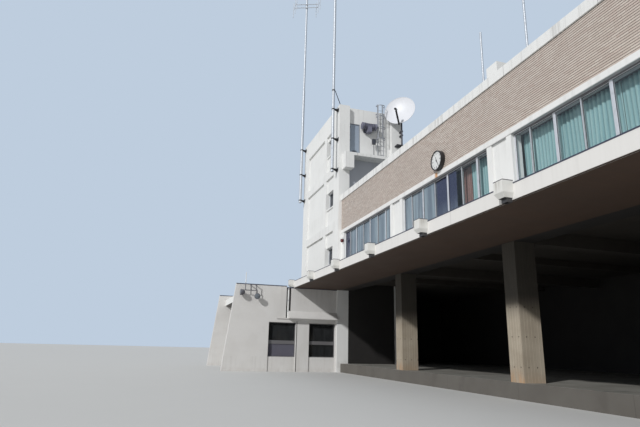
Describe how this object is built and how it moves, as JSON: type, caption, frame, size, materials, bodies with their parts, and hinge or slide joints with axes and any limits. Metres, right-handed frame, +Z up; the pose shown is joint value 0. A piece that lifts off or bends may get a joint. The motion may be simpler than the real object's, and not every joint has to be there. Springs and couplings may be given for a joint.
{
  "type": "fire station building",
  "caption": "Two-storey concrete fire station with open vehicle bays, ribbon windows, a clock, a square tower with antenna masts and a low wing.",
  "frame": {"origin": "on the underside of the floor, midway along the building and midway between its front and back, at the lowest ground level", "axes": "+Z up, -Y out of the street front, +X along the front to the right as seen from the street"},
  "size_m": [33.3562, 19.02, 31.65],
  "materials": {
    "bare_concrete": "bare board-marked concrete, matt",
    "black_metal": "black paint",
    "column_concrete": "board-marked concrete, rust stain at the foot",
    "curtain": "pale teal pleated cloth",
    "dark_flashing": "dark paint",
    "dark_metal": "dark grey paint",
    "door_paint": "pale blue paint",
    "floor_concrete": "trowelled concrete",
    "galvanised": "galvanised steel, dull",
    "grey_metal": "mid grey paint, worn",
    "painted_concrete": "white paint over concrete, weathered with grey streaks",
    "tile": "small beige mosaic tiles with pale joints",
    "white_metal": "white paint",
    "window_frame": "dull anodised aluminium",
    "window_glass": "clear sheet glass",
    "wing_render": "grey-beige render"
  },
  "bodies": {
    "root": {"antenna": "galvanised", "back_wall": "painted_concrete", "back_window_frames": "window_frame", "back_window_glass": "window_glass", "back_window_sashes": "window_frame", "canopy": "painted_concrete", "canopy_flashing": "dark_flashing", "ceiling_beams": "bare_concrete", "clock_case": "dark_metal", "clock_dial": "white_metal", "clock_hands": "black_metal", "curtain_rails": "dark_metal", "dish_feed": "dark_metal", "dish_mount": "grey_metal", "dish_reflector": "white_metal", "end_wall": "painted_concrete", "front_beam": "bare_concrete", "front_columns": "column_concrete", "front_coping": "painted_concrete", "front_curtains": "curtain", "front_pilasters": "painted_concrete", "front_sill_wall": "painted_concrete", "front_tiles": "tile", "front_upper_wall": "painted_concrete", "front_window_frames": "window_frame", "front_window_glass": "window_glass", "front_window_sashes": "window_frame", "garage_floor": "floor_concrete", "ladder": "grey_metal", "ladder_cage": "grey_metal", "landing": "painted_concrete", "landing_door": "door_paint", "left_wall": "painted_concrete", "mast_brackets": "dark_metal", "masts": "galvanised", "rain_hoppers": "white_metal", "roof_block": "painted_concrete", "roof_poles": "galvanised", "roof_slab": "bare_concrete", "side_copings": "painted_concrete", "siren": "dark_metal", "siren_control": "dark_metal", "tower_back_wall": "painted_concrete", "tower_floors": "bare_concrete", "tower_front_wall": "painted_concrete", "tower_right_wall": "painted_concrete", "tower_window_frames": "window_frame", "tower_window_glass": "window_glass", "upper_floor": "bare_concrete", "wing_downpipe": "white_metal", "wing_floodlights": "dark_metal", "wing_floor": "floor_concrete", "wing_front_wall": "wing_render", "wing_hoods": "wing_render", "wing_left_wall": "wing_render", "wing_right_wall": "wing_render", "wing_roof": "bare_concrete", "wing_window_frames": "window_frame", "wing_window_glass": "window_glass"}
  },
  "joints": []
}
